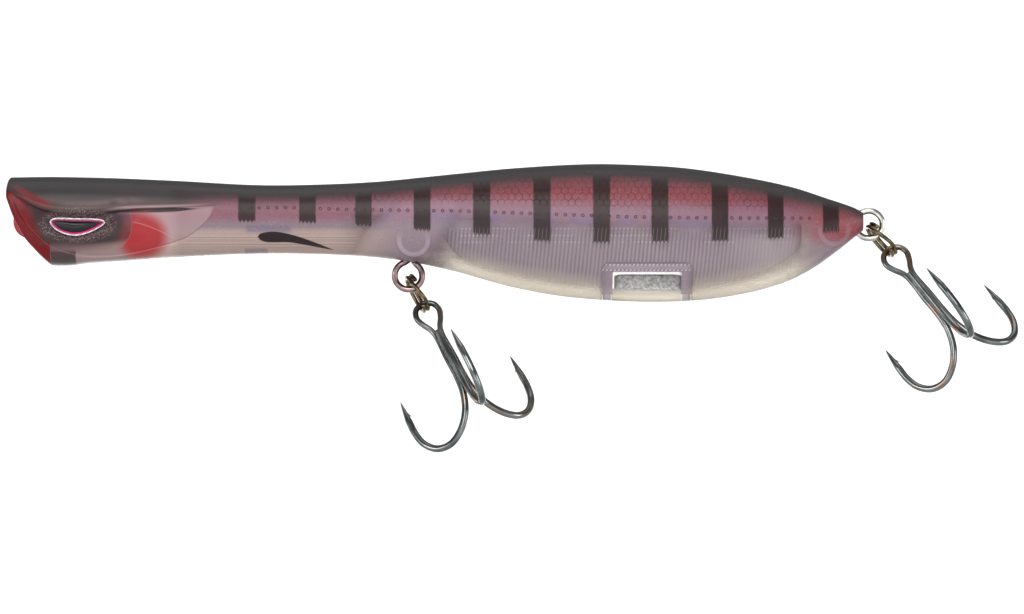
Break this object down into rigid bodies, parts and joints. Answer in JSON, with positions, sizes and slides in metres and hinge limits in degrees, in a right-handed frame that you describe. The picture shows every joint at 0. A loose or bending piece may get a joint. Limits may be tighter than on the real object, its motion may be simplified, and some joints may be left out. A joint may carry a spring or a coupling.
{
  "type": "topwater popper lure",
  "caption": "Long slim surface lure with a cupped mouth, a narrow neck and a deep translucent rear body, with treble hooks hung on split rings at belly and tail.",
  "frame": {"origin": "centre of the line-tie eye in the mouth", "axes": "+X from the mouth to the tail, +Z towards the back of the lure, -Y its left side"},
  "size_m": [0.1412, 0.0257, 0.0402],
  "materials": {
    "clear_body": "clear moulded plastic, smoked back, pink upper flank, cream keel",
    "red_wire": "red painted wire",
    "belly_wire": "stainless wire",
    "tail_wire": "stainless wire",
    "ballast": "grainy grey metal",
    "eye_foil": "metallic foil, bright rim",
    "eye_lens": "glossy dark resin",
    "split_ring": "bronze-black nickel",
    "hook": "black nickel"
  },
  "bodies": {
    "lure_body": {"left_shell": "clear_body", "right_shell": "clear_body", "line_tie": "red_wire", "belly_hanger": "belly_wire", "tail_hanger": "tail_wire", "ballast_slug": "ballast", "left_eye_foil": "eye_foil", "left_eye_lens": "eye_lens", "right_eye_foil": "eye_foil", "right_eye_lens": "eye_lens"},
    "belly_ring": {"belly_split_ring": "split_ring"},
    "belly_hook": {"belly_treble_double": "hook", "belly_treble_single": "hook"},
    "tail_ring": {"tail_split_ring": "split_ring"},
    "tail_hook": {"tail_treble_double": "hook", "tail_treble_single": "hook"}
  },
  "joints": [
    {"name": "belly_ring_swing", "type": "hinge", "parent": "lure_body", "child": "belly_ring", "pos_m": [0.0531, 0, -0.0076], "axis": [0, -1, 0], "range_deg": [-85, 30]},
    {"name": "belly_hook_swing", "type": "hinge", "parent": "belly_ring", "child": "belly_hook", "pos_m": [0.05437, 0, -0.01009], "axis": [0.88, 0.1564, 0.4484], "range_deg": [-33, 87]},
    {"name": "tail_ring_swing", "type": "hinge", "parent": "lure_body", "child": "tail_ring", "pos_m": [0.1177, 0, -0.00042], "axis": [0, -1, 0], "range_deg": [-45, 80]},
    {"name": "tail_hook_swing", "type": "hinge", "parent": "tail_ring", "child": "tail_hook", "pos_m": [0.1195, 0, -0.00256], "axis": [0.7566, 0.1564, 0.6349], "range_deg": [-33, 87]}
  ]
}
